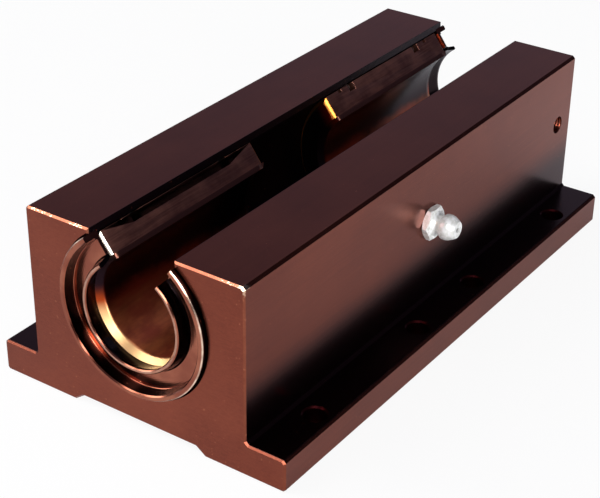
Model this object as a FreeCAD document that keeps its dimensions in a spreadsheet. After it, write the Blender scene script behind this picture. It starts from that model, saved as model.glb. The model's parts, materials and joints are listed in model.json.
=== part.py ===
import FreeCAD, Part
import math
import os

import Sketcher

# Twin open linear bearing block for a one inch shaft.
# Millimetres. +Z up, +Y along the shaft, origin at the bottom centre of the housing.

SIZES = [
    # alias, value or formula on the others, what it is
    ("length", 152.4, "housing length along the shaft"),
    ("body_width", 61.4, "width of the block above the flanges"),
    ("flange_width", 10.575, "width of each flange beside the block"),
    ("base_width", "body_width + 2 * flange_width", "width over both flanges"),
    ("centre_height", 30.16, "base to shaft centre"),
    ("top_rise", 18.1, "shaft centre to top faces"),
    ("height", "centre_height + top_rise", "base to top faces"),
    ("flange_thickness", 8.5, "thickness of the two flanges"),
    ("corner_break", 0.7, "bevel along the long outer corners"),
    ("end_break", 0.45, "bevel round the two end faces"),
    ("relief_width", 33.4, "flat width of the relief under the base"),
    ("relief_depth", 1.9, "depth of the relief under the base"),
    ("relief_run", 2.7, "width of each sloped side of the relief"),
    ("shaft_diameter", 25.4, "shaft that the block carries"),
    ("shaft_clearance", 0.05, "bearing bore over the shaft, on diameter"),
    ("liner_thickness", 1.2, "plain liner bonded in each bearing"),
    ("liner_bevel", 1.1, "lead-in at each end of a liner"),
    ("bearing_diameter", 39.69, "outside of a bearing shell"),
    ("bearing_length", 57.15, "length of one bearing"),
    ("bearing_bevel", 1.0, "bevel on the outer ends of a shell"),
    ("slot_angle", 74, "included angle of the open part of the bearings"),
    ("slot_gap", 0.087, "slot wall to the edge of a shell's opening"),
    ("slot_width", "bearing_diameter * sin(slot_angle / 2 * 1 deg) + 2 * slot_gap",
     "width of the slot through the top"),
    ("alignment_gap", 0.31, "shell to housing bore, on radius"),
    ("ring_section", 1.78, "O-ring cord diameter"),
    ("ring_gap", 0.03, "O-ring to housing bore, on radius"),
    ("ring_end_angle", 3, "how far an O-ring stops short of the opening, in degrees"),
    ("ring_inset", 12.175, "bearing end to the middle of an O-ring groove"),
    ("ring_offset", "bearing_length / 2 - ring_inset", "bearing centre to that groove"),
    ("ring_side_room", 0.46, "O-ring to each side of its groove"),
    ("ring_floor_room", 0.22, "how much deeper the groove is than the cord is thick"),
    ("ring_groove_width", "ring_section + 2 * ring_side_room", "O-ring groove width"),
    ("ring_groove_depth", "ring_section + ring_floor_room", "O-ring groove depth"),
    ("clip_inset", 7.075, "bearing end to the middle of a retaining ring groove"),
    ("clip_offset", "bearing_length / 2 - clip_inset", "bearing centre to that groove"),
    ("clip_groove_width", 1.3, "retaining ring groove width"),
    ("clip_groove_depth", 0.9, "retaining ring groove depth"),
    ("seal_step", 0.395, "seal case over the housing bore, on radius"),
    ("seal_diameter", "bearing_diameter + 2 * alignment_gap + 2 * seal_step",
     "outside of a seal case"),
    ("seal_gap", 0.02, "seal case to its seat and to its lip, on radius"),
    ("seal_seat_depth", 3.0, "depth of the seal's seat in the housing"),
    ("seal_to_bearing", 0.175, "seat floor to the end of a bearing"),
    ("bearing_pitch", "length - 2 * seal_seat_depth - 2 * seal_to_bearing - bearing_length",
     "distance between the bearing centres"),
    ("seal_proud", 1.5, "how far a seal stands out of the housing"),
    ("seal_wall", 1.45, "outer wall of a seal case"),
    ("seal_outer_break", 0.35, "bevel outside the case's rim"),
    ("seal_inner_break", 0.3, "bevel inside the case's rim"),
    ("seal_ledge", 0.45, "width of the ledge at the foot of that wall"),
    ("ledge_height", 0.5, "height of that ledge over the plate"),
    ("ledge_break", 0.1, "bevel along the ledge"),
    ("plate_thickness", 0.85, "plate of the seal case"),
    ("plate_set", 0.2, "seat floor to the back of the plate"),
    ("plate_depth", "seal_seat_depth - plate_set - plate_thickness",
     "housing end to the plate of the seal case"),
    ("lip_clearance", 0.1, "lip opening over the shaft, on diameter"),
    ("lip_bore_diameter", "shaft_diameter + lip_clearance", "lip opening round the shaft"),
    ("lip_rim_width", 1.0, "width of the lip at its rim"),
    ("lip_rim_diameter", "lip_bore_diameter + 2 * lip_rim_width", "outside of the rim"),
    ("lip_foot_width", 1.95, "lip opening to the lip's foot, on radius"),
    ("lip_foot_diameter", "lip_bore_diameter + 2 * lip_foot_width",
     "outside of the lip where it joins the plate"),
    ("lip_flare", 0.35, "how far the foot flares, on radius"),
    ("lip_flare_height", 0.5, "height of that flare over the plate"),
    ("lip_root", 1.0, "width of the lip at the back of the plate"),
    ("lip_land", 0.9, "depth of the lip's opening at full size"),
    ("lip_break", 0.25, "rounding of the lip's rim"),
    ("lip_set_back", 0.2, "lip's rim behind the case's rim"),
    ("seal_angle", "slot_angle - 1", "included angle of the open part of a seal"),
    ("hole_diameter", 5.6, "mounting holes in the flanges"),
    ("hole_edge", 4.76, "mounting hole to the flange's outer edge"),
    ("hole_spacing_across", "base_width - 2 * hole_edge",
     "mounting hole spacing across the block"),
    ("hole_inset", 18.275, "housing end to the first mounting hole"),
    ("hole_pair_spacing", 44.45, "spacing of the holes in a pair"),
    ("hole_pair_pitch", "length - 2 * hole_inset - hole_pair_spacing",
     "distance between the middles of two hole pairs"),
    ("hole_bevel", 0.4, "bevel at the mouth of each mounting hole"),
    ("screw_diameter", 4.83, "retention screw"),
    ("screw_gap", 0.03, "retention screw to its hole, on radius"),
    ("screw_from_end", 4.375, "bearing end to the retention screw's axis"),
    ("screw_inset", "seal_seat_depth + seal_to_bearing + screw_from_end",
     "housing end to the retention screw's axis"),
    ("screw_length", 6.745, "threaded length of a retention screw"),
    ("screw_stand_off", 0.4, "threaded part to the housing bore"),
    ("screw_recess", "body_width / 2 - bearing_diameter / 2 - alignment_gap"
     " - screw_stand_off - screw_length", "how far a retention screw sits below the side face"),
    ("screw_top_bevel", 0.4, "bevel at the socket end"),
    ("screw_foot_bevel", 0.7, "bevel above the point"),
    ("screw_key", 2.38, "width of the screw's hexagon socket"),
    ("screw_key_depth", 2.4, "depth of that socket"),
    ("dog_diameter", 2.2, "point of the retention screw"),
    ("dog_bevel", 0.2, "bevel round the point"),
    ("dog_reach", 1.6, "how deep the point enters the shell"),
    ("dog_gap", 0.35, "point to its hole in the shell, on radius"),
    ("dog_floor_gap", 1.35, "point to the floor of its hole"),
    ("thread_diameter", 6.35, "shank of the grease fitting"),
    ("thread_gap", 0.02, "shank to its hole, on radius"),
    ("shank_length", 5.6, "shank of the grease fitting"),
    ("shank_bevel", 0.5, "bevel at the foot of the shank"),
    ("shank_floor_gap", 1.0, "shank to the floor of its hole"),
    ("shank_overlap", 0.2, "how far the turned shank runs up into the hexagon"),
    ("grease_port", 3.0, "grease passage through the housing wall"),
    ("hexagon_width", 7.94, "across flats of the fitting's hexagon"),
    ("hexagon_height", 1.7, "height of the fitting's hexagon"),
    ("neck_diameter", 4.7, "neck behind the nozzle's head"),
    ("head_diameter", 6.5, "nozzle head of the fitting"),
    ("collar_run", 0.9, "cone from the hexagon down to the neck"),
    ("neck_run", 0.6, "length of the neck"),
    ("flare_run", 0.9, "cone from the neck up to the head"),
    ("head_edge_run", 0.3, "rounding behind the head"),
    ("head_edge", 0.1, "depth of that rounding"),
    ("head_run", 0.9, "full-size part of the head"),
    ("shoulder_run", 0.6, "rounding in front of it"),
    ("shoulder", 0.15, "depth of that rounding"),
    ("nozzle_height", 6.0, "hexagon to the tip of the nozzle"),
    ("fitting_height", "hexagon_height + nozzle_height", "side face to the tip of the nozzle"),
    ("tip_diameter", 4.2, "flat tip of the nozzle"),
    ("tip_run", 0.5, "rounding round the tip"),
    ("tip_edge", 0.35, "depth of that rounding"),
    ("tip_wall", 0.35, "thickness of the tip round its opening"),
    ("ball_diameter", 2.0, "check ball"),
    ("ball_gap", 0.03, "ball to its seat and to its spring"),
    ("ball_play", 0.15, "ball to the wall of its chamber"),
    ("mouth_diameter", "0.7 * ball_diameter", "opening in the tip"),
    ("chamber_diameter", "ball_diameter + 2 * ball_play", "chamber behind the tip"),
    ("chamber_floor", 0.5, "side face to the chamber's floor"),
    ("spring_wire", 0.3, "wire of the check spring"),
    ("spring_coils", 5, "turns of the check spring"),
    ("spring_play", 0.1, "spring to the wall of its chamber"),
    ("spring_floor_gap", 0.02, "spring to the chamber's floor"),
    ("run_out", 5.0, "how far a cut runs on past the face it opens"),
]

doc = FreeCAD.newDocument("LinearBearingBlock")
sheet = doc.addObject("Spreadsheet::Sheet", "Sizes")
for row, (alias, value, meaning) in enumerate(SIZES, start=1):
    sheet.set(f"A{row}", meaning)
    sheet.set(f"B{row}", "0" if isinstance(value, str) else str(value))
    sheet.setAlias(f"B{row}", alias)
doc.recompute()
for row, (alias, value, meaning) in enumerate(SIZES, start=1):
    if isinstance(value, str):
        sheet.set(f"B{row}", "=" + value)
doc.recompute()
ALIASES = {alias for alias, _, _ in SIZES}
# Formulas are worked out here, in a sheet that nothing depends on.
working = doc.addObject("Spreadsheet::Sheet", "Working")


def bound(text):
    """Turn a formula on bare size names into one that reads the sheet."""
    words, word = [], ""
    for letter in text + " ":
        if letter.isalpha() or letter == "_":
            word += letter
            continue
        words.append(f"Sizes.{word}" if word in ALIASES else word)
        words.append(letter)
        word = ""
    return "".join(words).strip()


def size(text):
    """Value of a formula on size names."""
    working.set("A1", "=" + bound(text))
    working.recompute()
    return float(working.get("A1"))


def body(label):
    """A new, empty PartDesign body."""
    new = doc.addObject("PartDesign::Body", label)
    new.Label = label
    return new


def sketch(owner, name, plane):
    """A sketch on one of a body's own origin planes."""
    new = owner.newObject("Sketcher::SketchObject", name)
    role = [feature for feature in owner.Origin.OriginFeatures if feature.Role == plane + "_Plane"]
    new.AttachmentSupport = (role[0], [""])
    new.MapMode = "FlatFace"
    return new


def pin(target, geometry, point, where):
    """Tie a sketch point to the origin by two formulas."""
    for kind, formula in zip(("DistanceX", "DistanceY"), where):
        rule = Sketcher.Constraint(kind, -1, 1, geometry, point, size(formula))
        index = target.addConstraint(rule)
        target.setExpression(f"Constraints[{index}]", bound(formula))


def outline(target, corners):
    """Closed outline of straight sides through corners given as pairs of formulas."""
    places = [FreeCAD.Vector(size(across), size(up), 0) for across, up in corners]
    first = target.GeometryCount
    count = len(places)
    for i in range(count):
        target.addGeometry(Part.LineSegment(places[i], places[(i + 1) % count]), False)
    for i in range(count):
        follower = first + (i + 1) % count
        target.addConstraint(Sketcher.Constraint("Coincident", first + i, 2, follower, 1))
    for i, corner in enumerate(corners):
        pin(target, first + i, 1, corner)


def regular(sides, reach, first=0):
    """Corners of a regular polygon about a point, as formulas.

    The first corner is turned the given number of degrees from straight up.
    """
    turns = [f"{first + 360 / sides * i} deg" for i in range(sides)]
    return [(f"({reach}) * sin({turn})", f"({reach}) * cos({turn})") for turn in turns]


def ring(target, where, diameter):
    """Circle with its centre and diameter given as formulas."""
    centre = FreeCAD.Vector(size(where[0]), size(where[1]), 0)
    circle = Part.Circle(centre, FreeCAD.Vector(0, 0, 1), size(diameter) / 2)
    index = target.addGeometry(circle, False)
    pin(target, index, 3, where)
    rule = target.addConstraint(Sketcher.Constraint("Diameter", index, size(diameter)))
    target.setExpression(f"Constraints[{rule}]", bound(diameter))


def feature(owner, kind, name, profile, **settings):
    """A sketch-based feature; text settings are formulas."""
    new = owner.newObject("PartDesign::" + kind, name)
    new.Profile = profile
    for key, setting in settings.items():
        if isinstance(setting, str) and key not in ("SideType", "Type"):
            setattr(new, key, size(setting))
            new.setExpression(key, bound(setting))
        else:
            setattr(new, key, setting)
    doc.recompute()
    return new


def turned(owner, name, corners, angle="360"):
    """Revolve a half section about the body's Y axis. Heights below the axis are radii."""
    profile = sketch(owner, name + "_section", "YZ")
    outline(profile, corners)
    axis = (profile, ["H_Axis"])
    return feature(owner, "Revolution", name, profile, ReferenceAxis=axis, Midplane=True, Angle=angle)


def turned_about_x(owner, kind, name, corners):
    """Revolve or groove a half section about the body's X axis."""
    profile = sketch(owner, name + "_section", "XZ")
    outline(profile, corners)
    return feature(owner, kind, name, profile, ReferenceAxis=(profile, ["H_Axis"]), Angle="360")


def bevel(owner, name, wanted, width):
    """Chamfer the edges of the body's tip that a test picks out."""
    base = owner.Tip
    names = [f"Edge{i}" for i, edge in enumerate(base.Shape.Edges, start=1) if wanted(edge)]
    new = owner.newObject("PartDesign::Chamfer", name)
    new.Base = (base, names)
    new.Size = size(width)
    new.setExpression("Size", bound(width))
    doc.recompute()
    return new


def place(owner, where, turn=0):
    """Put a body at a point given by formulas, turned about the vertical by degrees."""
    owner.Placement = FreeCAD.Placement(
        FreeCAD.Vector(*[size(formula) for formula in where]),
        FreeCAD.Rotation(FreeCAD.Vector(0, 0, 1), turn))
    for axis, formula in zip("xyz", where):
        owner.setExpression(f"Placement.Base.{axis}", bound(formula))


# ---- values that several pieces share -------------------------------------------------
HOUSING_BORE = "(bearing_diameter + 2 * alignment_gap)"
LINER_BORE = "(shaft_diameter + shaft_clearance)"
SHELL_BORE = "(shaft_diameter + shaft_clearance + 2 * liner_thickness)"
SCREW_FROM_CENTRE = "(length / 2 - screw_inset - bearing_pitch / 2)"
# Thin cords are polygons, to keep their solids light.
CORD_SIDES = 10
WIRE_SIDES = 6


# ---- housing ---------------------------------------------------------------------------
def make_housing():
    """Extruded section with flanges, bored, slotted and drilled."""
    housing = body("housing")
    half = [
        ("relief_width / 2", "relief_depth"),
        ("relief_width / 2 + relief_run", "0"),
        ("base_width / 2 - corner_break", "0"),
        ("base_width / 2", "corner_break"),
        ("base_width / 2", "flange_thickness - corner_break"),
        ("base_width / 2 - corner_break", "flange_thickness"),
        ("body_width / 2 + corner_break", "flange_thickness"),
        ("body_width / 2", "flange_thickness + corner_break"),
        ("body_width / 2", "height - corner_break"),
        ("body_width / 2 - corner_break", "height"),
    ]
    other_half = [(f"-({across})", up) for across, up in reversed(half)]
    section = sketch(housing, "housing_section", "XZ")
    outline(section, half + other_half)
    feature(housing, "Pad", "extrusion", section, SideType="Symmetric", Length="length")

    slot = sketch(housing, "slot_section", "XZ")
    edge = "slot_width / 2"
    outline(slot, [(f"-{edge}", "centre_height"), (edge, "centre_height"),
                   (edge, "height + run_out"), (f"-{edge}", "height + run_out")])
    feature(housing, "Pocket", "slot", slot, SideType="Symmetric", Length="length + 2 * run_out")

    bore = sketch(housing, "bore_section", "XZ")
    ring(bore, ("0", "centre_height"), HOUSING_BORE)
    feature(housing, "Pocket", "bore", bore, SideType="Symmetric", Length="length + 2 * run_out")

    for end, direction in (("front", "-"), ("rear", "")):
        seat = sketch(housing, end + "_seal_seat_section", "XZ")
        ring(seat, ("0", "centre_height"), "seal_diameter + 2 * seal_gap")
        # The plane's normal points to -Y, so its offset to the front end is positive.
        to_end = "length / 2" if end == "front" else "-length / 2"
        seat.AttachmentOffset = FreeCAD.Placement(
            FreeCAD.Vector(0, 0, size(to_end)), FreeCAD.Rotation())
        seat.setExpression("AttachmentOffset.Base.z", bound(to_end))
        feature(housing, "Pocket", end + "_seal_seat", seat, Length="seal_seat_depth",
                Reversed=end == "rear")

    def on_end_face(edge):
        box = edge.BoundBox
        return box.YLength < 1e-6 and abs(abs(box.YMin) - size("length / 2")) < 1e-6

    bevel(housing, "end_bevel", on_end_face, "end_break")

    holes = sketch(housing, "mounting_hole_centres", "XY")
    for side in ("-", ""):
        for pair in ("-", ""):
            for step in ("-", "+"):
                along = f"{pair}hole_pair_pitch / 2 {step} hole_pair_spacing / 2"
                ring(holes, (f"{side}hole_spacing_across / 2", along), "hole_diameter")
    feature(housing, "Pocket", "mounting_holes", holes, SideType="Symmetric",
            Length="4 * flange_thickness")

    def at_hole_mouth(edge):
        level = abs(edge.BoundBox.ZMin - size("flange_thickness")) < 1e-6
        flat = edge.BoundBox.ZLength < 1e-6
        return level and flat and isinstance(edge.Curve, Part.Circle)

    bevel(housing, "mounting_hole_bevel", at_hole_mouth, "hole_bevel")

    fitting = sketch(housing, "grease_hole_section", "YZ")
    ring(fitting, ("0", "centre_height"), "thread_diameter + 2 * thread_gap")
    side_offset(fitting, "body_width / 2")
    feature(housing, "Pocket", "grease_hole", fitting, Length="shank_length + shank_floor_gap")
    into_bore = "body_width / 2 - bearing_diameter / 4"
    port = sketch(housing, "grease_port_section", "YZ")
    ring(port, ("0", "centre_height"), "grease_port")
    side_offset(port, "body_width / 2")
    feature(housing, "Pocket", "grease_port", port, Length=into_bore)

    for end, along in (("rear", "length / 2 - screw_inset"), ("front", "screw_inset - length / 2")):
        screw = sketch(housing, end + "_screw_hole_section", "YZ")
        ring(screw, (along, "centre_height"), "screw_diameter + 2 * screw_gap")
        side_offset(screw, "body_width / 2" if end == "rear" else "-body_width / 2")
        feature(housing, "Pocket", end + "_screw_hole", screw, Length=into_bore,
                Reversed=end == "front")
    return housing


def side_offset(target, formula):
    """Move a sketch of the YZ plane out along X."""
    target.AttachmentOffset = FreeCAD.Placement(
        FreeCAD.Vector(0, 0, size(formula)), FreeCAD.Rotation())
    target.setExpression("AttachmentOffset.Base.z", bound(formula))


# ---- bearings --------------------------------------------------------------------------
def make_bearing(end, turn):
    """Open shell, bonded liner and two O-rings, all centred on the bearing."""
    sign = "-" if end == "front" else ""
    where = ("0", f"{sign}bearing_pitch / 2", "centre_height")
    opening = "360 - slot_angle"

    shell = body(end + "_bearing_shell")
    outer = "-bearing_diameter / 2"
    inner = f"-{SHELL_BORE} / 2"
    tip = "bearing_length / 2"
    corners = [(tip, inner), (tip, f"{outer} + bearing_bevel"), (f"{tip} - bearing_bevel", outer)]
    grooves = [("clip_offset", "clip_groove_width", "clip_groove_depth"),
               ("ring_offset", "ring_groove_width", "ring_groove_depth")]
    for middle, width, depth in grooves:
        far, near = f"{middle} + {width} / 2", f"{middle} - {width} / 2"
        floor = f"{outer} + {depth}"
        corners += [(far, outer), (far, floor), (near, floor), (near, outer)]
    corners += [(f"-({along})", height) for along, height in reversed(corners)]
    turned(shell, end + "_shell_turning", corners, opening)
    hole = sketch(shell, end + "_dog_hole_section", "YZ")
    ring(hole, (SCREW_FROM_CENTRE, "0"), "dog_diameter + 2 * dog_gap")
    side_offset(hole, "bearing_diameter / 2")
    feature(shell, "Pocket", end + "_dog_hole", hole, Length="dog_reach + dog_floor_gap")
    place(shell, where, turn)

    liner = body(end + "_bearing_liner")
    bore = f"-{LINER_BORE} / 2"
    half = [(tip, inner), (tip, f"{bore} - liner_bevel"), (f"{tip} - liner_bevel", bore)]
    half += [(f"-({along})", height) for along, height in reversed(half)]
    turned(liner, end + "_liner_turning", half, opening)
    place(liner, where, turn)

    for name, along in (("outer", "ring_offset"), ("inner", "-ring_offset")):
        o_ring = body(f"{end}_{name}_o_ring")
        section = sketch(o_ring, f"{end}_{name}_o_ring_section", "YZ")
        to_cord = f"ring_section / 2 + ring_gap - {HOUSING_BORE} / 2"
        outline(section, [(f"{along} + {x}", f"{to_cord} + {y}")
                          for x, y in regular(CORD_SIDES, "ring_section / 2")])
        feature(o_ring, "Revolution", f"{end}_{name}_o_ring_cord", section, Midplane=True,
                ReferenceAxis=(section, ["H_Axis"]), Angle=f"{opening} - 2 * ring_end_angle")
        place(o_ring, where, turn)


# ---- seals -----------------------------------------------------------------------------
def make_seal(end, turn):
    """Open seal: a case with an outer wall and plate, and a lip that leans on the shaft.

    Distances run outwards from the housing's end face, so depths are negative.
    """
    sign = "-" if end == "front" else ""
    where = ("0", f"{sign}length / 2", "centre_height")
    opening = "360 - seal_angle"
    plate, back = "-plate_depth", "-(plate_depth + plate_thickness)"
    wall = "-(seal_diameter / 2 - seal_wall)"
    ledge = f"{wall} + seal_ledge"
    outer = "-seal_diameter / 2"

    case = body(end + "_seal_case")
    turned(case, end + "_case_turning", [
        ("-seal_seat_depth", outer), ("seal_proud - seal_outer_break", outer),
        ("seal_proud", f"{outer} + seal_outer_break"),
        ("seal_proud", f"{wall} - seal_inner_break"), ("seal_proud - seal_inner_break", wall),
        (f"{plate} + ledge_height", wall), (f"{plate} + ledge_height", f"{ledge} - ledge_break"),
        (f"{plate} + ledge_height - ledge_break", ledge),
        (plate, ledge), (plate, "-(lip_foot_diameter / 2 + seal_gap)"),
        (back, "-(lip_foot_diameter / 2 + seal_gap)"), (back, wall), ("-seal_seat_depth", wall),
    ], opening)
    place(case, where, turn)

    lip = body(end + "_seal_lip")
    rim = "seal_proud - lip_set_back"
    turned(lip, end + "_lip_turning", [
        (back, "-lip_foot_diameter / 2"), (plate, "-lip_foot_diameter / 2"),
        (f"{plate} + lip_flare_height", "-(lip_foot_diameter / 2 - lip_flare)"),
        (f"{rim} - lip_break", "-lip_rim_diameter / 2"),
        (rim, "-(lip_rim_diameter / 2 - lip_break)"),
        (rim, "-(lip_bore_diameter / 2 + lip_break)"),
        (f"{rim} - lip_break", "-lip_bore_diameter / 2"),
        (f"{rim} - lip_land", "-lip_bore_diameter / 2"),
        (back, "-(lip_foot_diameter / 2 - lip_root)"),
    ], opening)
    place(lip, where, turn)


# ---- grease fitting --------------------------------------------------------------------
def make_grease_fitting():
    """Hexagon fitting on the side face, with its ball and spring. X runs out of the face."""
    where = ("body_width / 2", "0", "centre_height")
    fitting = body("grease_fitting")
    hexagon = sketch(fitting, "hexagon_section", "YZ")
    flat = "hexagon_width / 2"
    reach = f"{flat} / cos(30 deg)"
    outline(hexagon, regular(6, reach, 30))
    feature(fitting, "Pad", "hexagon", hexagon, Length="hexagon_height")
    # Trim the hexagon's corners, front and back, to 30 degree cones.
    trim = f"({reach} - {flat}) * tan(30 deg)"
    for name, face, inward, outward in (("crown", "hexagon_height", "-", "+"),
                                        ("foot", "0", "+", "-")):
        start, end = f"{face} {inward} {trim}", f"{face} {outward} run_out"
        turned_about_x(fitting, "Groove", "hexagon_" + name, [
            (start, reach), (face, flat), (end, flat),
            (end, f"{reach} + run_out"), (start, f"{reach} + run_out")])
    neck = "hexagon_height + collar_run"
    head = f"{neck} + neck_run + flare_run"
    wide = f"{head} + head_edge_run"
    turned_about_x(fitting, "Revolution", "nozzle_and_shank", [
        ("-shank_length", "0"), ("-shank_length", "thread_diameter / 2 - shank_bevel"),
        ("shank_bevel - shank_length", "thread_diameter / 2"),
        ("shank_overlap", "thread_diameter / 2"), ("hexagon_height", "head_diameter / 2"),
        (neck, "neck_diameter / 2"), (f"{neck} + neck_run", "neck_diameter / 2"),
        (head, "head_diameter / 2 - head_edge"), (wide, "head_diameter / 2"),
        (f"{wide} + head_run", "head_diameter / 2"),
        (f"{wide} + head_run + shoulder_run", "head_diameter / 2 - shoulder"),
        ("fitting_height - tip_run", "tip_diameter / 2 + tip_edge"),
        ("fitting_height", "tip_diameter / 2"), ("fitting_height", "0")])
    seat = "(chamber_diameter - mouth_diameter) / 2"
    turned_about_x(fitting, "Groove", "grease_passage", [
        ("-shank_length - run_out", "0"), ("-shank_length - run_out", "mouth_diameter / 2"),
        ("chamber_floor", "mouth_diameter / 2"), ("chamber_floor", "chamber_diameter / 2"),
        (f"fitting_height - tip_wall - {seat}", "chamber_diameter / 2"),
        ("fitting_height - tip_wall", "mouth_diameter / 2"),
        ("fitting_height + run_out", "mouth_diameter / 2"), ("fitting_height + run_out", "0")])
    place(fitting, where)

    # The ball touches the seat's 45 degree cone, one radius times root two behind its apex.
    centre = ("(fitting_height - tip_wall + mouth_diameter / 2"
              " - ball_diameter / 2 * sqrt(2) - ball_gap)")
    ball = doc.addObject("Part::Sphere", "grease_check_ball")
    ball.Label = "grease_check_ball"
    ball.Radius = size("ball_diameter / 2")
    ball.setExpression("Radius", bound("ball_diameter / 2"))
    ball_place = (f"body_width / 2 + {centre}", "0", "centre_height")
    ball.Placement.Base = FreeCAD.Vector(*[size(formula) for formula in ball_place])
    for axis, formula in zip("xyz", ball_place):
        ball.setExpression(f"Placement.Base.{axis}", bound(formula))
    make_spring(size("body_width / 2"), size(centre))


def make_spring(face, ball_centre):
    """Round wire coil between the chamber's floor and the ball."""
    wire = size("spring_wire")
    coil = size("chamber_diameter / 2 - spring_wire / 2 - spring_play")
    low = size("chamber_floor + spring_wire / 2 + spring_floor_gap")
    touch = math.sqrt((size("ball_diameter") / 2 + wire / 2) ** 2 - coil ** 2)
    high = ball_centre - touch - size("ball_gap")
    height = high - low
    helix = Part.makeHelix(height / size("spring_coils"), height, coil)
    turns = [2 * math.pi * i / WIRE_SIDES for i in range(WIRE_SIDES + 1)]
    section = Part.makePolygon([
        FreeCAD.Vector(coil + wire / 2 * math.cos(a), 0, wire / 2 * math.sin(a)) for a in turns])
    solid = Part.Wire(helix).makePipeShell([section], True, True)
    spring = doc.addObject("Part::Feature", "grease_check_spring")
    spring.Label = "grease_check_spring"
    spring.Shape = solid
    to_x = FreeCAD.Rotation(FreeCAD.Vector(0, 0, 1), FreeCAD.Vector(1, 0, 0))
    spring.Placement = FreeCAD.Placement(FreeCAD.Vector(face + low, 0, size("centre_height")), to_x)


# ---- retention screws ------------------------------------------------------------------
def make_retention_screw(end, turn):
    """Socket set screw whose point stands in the shell's hole. X runs out of the face."""
    sign = "-" if end == "front" else ""
    where = (f"{sign}body_width / 2", f"{sign}(length / 2 - screw_inset)", "centre_height")
    screw = body(end + "_retention_screw")
    point = "(bearing_diameter / 2 - dog_reach - body_width / 2)"
    shoulder = f"({HOUSING_BORE} / 2 + screw_stand_off - body_width / 2)"
    turned_about_x(screw, "Revolution", end + "_screw_turning", [
        (point, "0"), (point, "dog_diameter / 2 - dog_bevel"),
        (f"{point} + dog_bevel", "dog_diameter / 2"), (shoulder, "dog_diameter / 2"),
        (shoulder, "screw_diameter / 2 - screw_foot_bevel"),
        (f"{shoulder} + screw_foot_bevel", "screw_diameter / 2"),
        ("-screw_recess - screw_top_bevel", "screw_diameter / 2"),
        ("-screw_recess", "screw_diameter / 2 - screw_top_bevel"), ("-screw_recess", "0")])
    socket = sketch(screw, end + "_socket_section", "YZ")
    outline(socket, regular(6, "screw_key / 2 / cos(30 deg)"))
    side_offset(socket, "-screw_recess")
    feature(screw, "Pocket", end + "_socket", socket, Length="screw_key_depth")
    place(screw, where, turn)


make_housing()
for end, turn in (("front", 180), ("rear", 0)):
    make_bearing(end, turn)
    make_seal(end, turn)
    make_retention_screw(end, turn)
make_grease_fitting()
doc.recompute()

for item in doc.Objects:
    if "Invalid" in item.State or "Error" in item.State:
        raise RuntimeError(f"{item.Label} failed: {item.State}")

os.makedirs("parts", exist_ok=True)
pieces = [item for item in doc.Objects if item.TypeId in
          ("PartDesign::Body", "Part::Sphere", "Part::Feature")]
for piece in pieces:
    shape = piece.Shape
    if shape.isNull() or not shape.isValid() or len(shape.Solids) != 1:
        raise RuntimeError(f"{piece.Label} has no single valid solid")
    shape.exportStep(f"parts/{piece.Label}.step")
    box = shape.BoundBox
    print(f"{piece.Label:24s} volume {shape.Volume:10.1f}  x {box.XMin:7.2f} {box.XMax:7.2f}"
          f"  y {box.YMin:7.2f} {box.YMax:7.2f}  z {box.ZMin:6.2f} {box.ZMax:6.2f}")
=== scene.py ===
"""Finishes, fitted pieces, light and camera for a twin open linear bearing block.

The block stands on the floor with +Z up and +Y along the shaft. Lengths are in millimetres,
except in the studio, and meshes are written in metres.
"""

import json
import logging
from dataclasses import dataclass
from enum import Enum
from typing import Any, Callable, Union

import bmesh
import bpy
import numpy as np
from mathutils import Matrix, Vector


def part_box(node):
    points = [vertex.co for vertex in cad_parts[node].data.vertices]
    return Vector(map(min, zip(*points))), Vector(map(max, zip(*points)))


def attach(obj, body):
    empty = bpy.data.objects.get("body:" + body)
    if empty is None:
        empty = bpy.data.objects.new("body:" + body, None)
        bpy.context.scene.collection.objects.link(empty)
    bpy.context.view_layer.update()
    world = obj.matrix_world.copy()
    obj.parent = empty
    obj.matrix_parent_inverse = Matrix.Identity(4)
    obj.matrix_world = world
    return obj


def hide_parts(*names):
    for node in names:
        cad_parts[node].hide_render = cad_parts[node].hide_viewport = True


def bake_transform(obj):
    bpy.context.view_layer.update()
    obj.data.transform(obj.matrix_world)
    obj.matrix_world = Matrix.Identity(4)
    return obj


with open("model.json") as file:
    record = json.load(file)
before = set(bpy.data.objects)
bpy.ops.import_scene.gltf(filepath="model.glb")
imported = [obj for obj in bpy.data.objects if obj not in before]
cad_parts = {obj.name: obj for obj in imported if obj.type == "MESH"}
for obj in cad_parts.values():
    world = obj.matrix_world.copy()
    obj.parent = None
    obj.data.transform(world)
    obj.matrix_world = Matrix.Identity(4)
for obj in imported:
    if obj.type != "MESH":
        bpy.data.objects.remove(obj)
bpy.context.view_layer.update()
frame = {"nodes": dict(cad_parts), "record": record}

Triple = tuple[float, float, float]
Tint = Triple
Term = Union["Field", float, Triple]

MM = 0.001
# The least distance, in millimetres, by which a mask tells two faces apart.
HAIR = 0.01
log = logging.getLogger("bearing_block")


def shade(red: int, green: int, blue: int) -> Tint:
    """Scene-linear colour of a display colour whose parts run from 0 to 255.

    Args:
        red: Red part.
        green: Green part.
        blue: Blue part.

    Returns:
        Each part over 255, plus 0.055, over 1.055, to the power 2.4.
    """
    return tuple(((part / 255 + 0.055) / 1.055) ** 2.4 for part in (red, green, blue))


# ---- shader arithmetic ------------------------------------------------------------------
def maths(operation: str, swapped: bool = False) -> Callable[..., "Field"]:
    """Method of Field for one operation of the maths nodes.

    Args:
        operation: Blender's name of the operation.
        swapped: True where the other term comes first.

    Returns:
        A method that puts the field and any other terms through one node. Its result is a
        triple where any term is one.
    """
    def method(self: "Field", *others: Term) -> "Field":
        """Result of the operation."""
        terms = (*others, self) if swapped else (self, *others)
        wide = any(isinstance(term, tuple) or (isinstance(term, Field) and term.triple)
                   for term in terms)
        kind = "ShaderNodeVectorMath" if wide else "ShaderNodeMath"
        return self.book.node(kind, *terms, operation=operation)

    return method


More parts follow.
